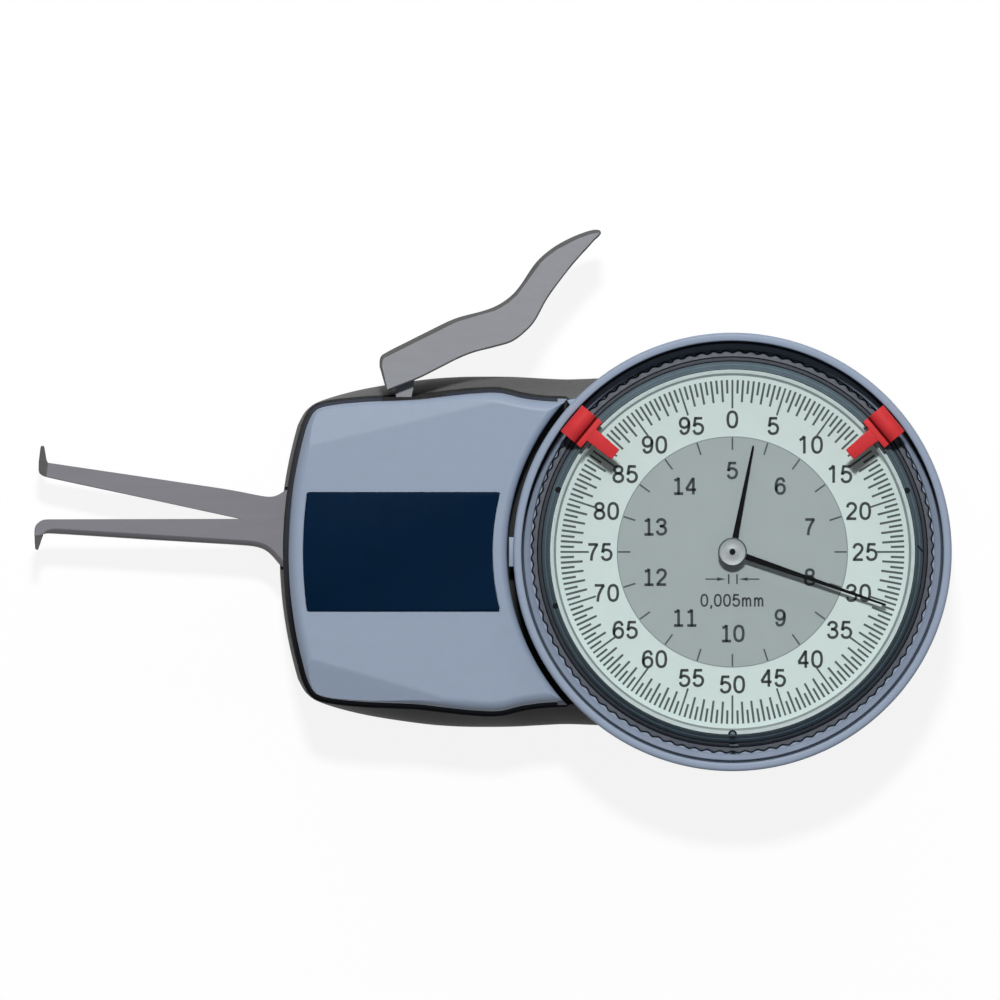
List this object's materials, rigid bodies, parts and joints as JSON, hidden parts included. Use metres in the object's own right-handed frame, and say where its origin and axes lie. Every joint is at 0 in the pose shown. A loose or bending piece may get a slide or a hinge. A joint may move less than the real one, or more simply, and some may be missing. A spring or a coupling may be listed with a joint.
{
  "type": "inside dial caliper",
  "caption": "Inside dial caliper: two slim jaws with outward tips, a thumb lever that closes them, and a geared dial with a turning bezel and sliding limit markers.",
  "frame": {"origin": "on the dial axis, at the flat back face on which the caliper rests", "axes": "+Z out of the dial face, -X along the jaws to the tips, +Y towards the thumb lever"},
  "size_m": [0.1341, 0.0791, 0.0277],
  "materials": {
    "dark_shell": "moulded charcoal plastic, fine matt texture",
    "rubber": "black rubber, matt",
    "painted_case": "blue-grey, fine matt texture",
    "navy_plate": "navy printed film, satin",
    "steel": "ground hardened steel, satin",
    "dark_steel": "blackened steel screws",
    "satin_lever": "satin metal, rounded edges",
    "brass": "machined brass",
    "carbide": "hard metal, ground",
    "dark_bezel": "dark plastic with a worn grey slope",
    "dial_paint": "pale dial, matt",
    "spacer": "grey ring, satin",
    "hand_paint": "black, satin",
    "silver_cap": "polished",
    "red_marker": "red plastic, satin",
    "crystal": "clear flat acrylic"
  },
  "bodies": {
    "housing": {"back_shell": "dark_shell", "case_gasket": "rubber", "lever_slot_seal": "rubber", "front_cover": "painted_case", "dial_housing": "painted_case", "name_plate": "navy_plate", "case_screw_1": "dark_steel", "case_screw_2": "dark_steel", "case_screw_3": "dark_steel", "case_screw_4": "dark_steel", "case_screw_5": "dark_steel", "case_screw_6": "dark_steel", "chassis_screw_1": "dark_steel", "chassis_screw_2": "dark_steel", "chassis_screw_3": "dark_steel", "movement_screw_1": "dark_steel", "movement_screw_2": "dark_steel", "movement_screw_3": "dark_steel", "lever_clip": "dark_steel", "fixed_arm": "steel", "arm_pivot_pin": "steel", "spring_post": "steel", "stop_pin": "steel", "lever_pivot_stud": "steel", "hairspring_stud": "steel", "jaw_spring": "steel", "hairspring": "steel", "fixed_tip": "carbide", "rear_bridge": "brass", "movement_pillar_1": "brass", "movement_pillar_2": "brass", "movement_pillar_3": "brass", "movement_plate": "brass"},
    "moving_arm": {"moving_arm": "steel", "moving_tip": "carbide", "arm_bush": "brass", "sector_gear": "brass", "sector_screw_1": "dark_steel", "sector_screw_2": "dark_steel", "drive_pin": "steel", "spring_hook_pin": "steel"},
    "lever": {"thumb_lever": "satin_lever", "lever_fork": "steel", "fork_screw": "dark_steel"},
    "transfer_arbor": {"transfer_arbor": "steel", "transfer_wheel": "brass", "motion_wheel": "brass"},
    "centre_arbor": {"centre_arbor": "steel", "long_hand": "hand_paint", "hand_hub": "silver_cap"},
    "hour_pipe": {"hour_wheel": "brass", "short_hand": "hand_paint"},
    "takeup_arbor": {"takeup_arbor": "steel", "takeup_wheel": "brass"},
    "bezel": {"bezel_ring": "dark_bezel", "dial_face": "dial_paint", "spacer_ring": "spacer", "crystal": "crystal"},
    "marker_left": {"limit_marker_left": "red_marker"},
    "marker_right": {"limit_marker_right": "red_marker"}
  },
  "joints": [
    {"name": "arm_swing", "type": "hinge", "parent": "housing", "child": "moving_arm", "pos_m": [-0.0381, 0.0048, 0], "axis": [0, 0, 1], "range_deg": [0, 9.36], "stiffness_Nm_per_rad": 0.08, "springref_deg": -28.65, "deforming": ["jaw_spring"]},
    {"name": "lever_press", "type": "hinge", "parent": "housing", "child": "lever", "pos_m": [-0.0427, 0.0163, 0], "axis": [0, 0, 1], "range_deg": [-20.03, 0]},
    {"name": "transfer_turn", "type": "hinge", "parent": "housing", "child": "transfer_arbor", "pos_m": [-0.0168, 0, 0], "axis": [0, 0, 1], "range_deg": [-187.2, 0]},
    {"name": "long_hand_turn", "type": "hinge", "parent": "housing", "child": "centre_arbor", "pos_m": [0, 0, 0], "axis": [0, 0, 1], "range_deg": [0, 3744]},
    {"name": "short_hand_turn", "type": "hinge", "parent": "housing", "child": "hour_pipe", "pos_m": [0, 0, 0], "axis": [0, 0, 1], "range_deg": [0, 374.4]},
    {"name": "takeup_turn", "type": "hinge", "parent": "housing", "child": "takeup_arbor", "pos_m": [0.0072, 0, 0], "axis": [0, 0, 1], "range_deg": [-468, 0], "deforming": ["hairspring"]},
    {"name": "bezel_turn", "type": "hinge", "parent": "housing", "child": "bezel", "pos_m": [0, 0, 0], "axis": [0, 0, 1], "continuous": true},
    {"name": "marker_left_slide", "type": "hinge", "parent": "bezel", "child": "marker_left", "pos_m": [0, 0, 0], "axis": [0, 0, 1], "range_deg": [-44.3, 123.7]},
    {"name": "marker_right_slide", "type": "hinge", "parent": "bezel", "child": "marker_right", "pos_m": [0, 0, 0], "axis": [0, 0, 1], "range_deg": [-123.7, 44.3]}
  ],
  "couplings": [
    {"joint": "lever_press", "follows": "arm_swing", "ratio": -2.1389},
    {"joint": "transfer_turn", "follows": "arm_swing", "ratio": -20},
    {"joint": "long_hand_turn", "follows": "arm_swing", "ratio": 400},
    {"joint": "short_hand_turn", "follows": "arm_swing", "ratio": 40},
    {"joint": "takeup_turn", "follows": "arm_swing", "ratio": -50}
  ]
}
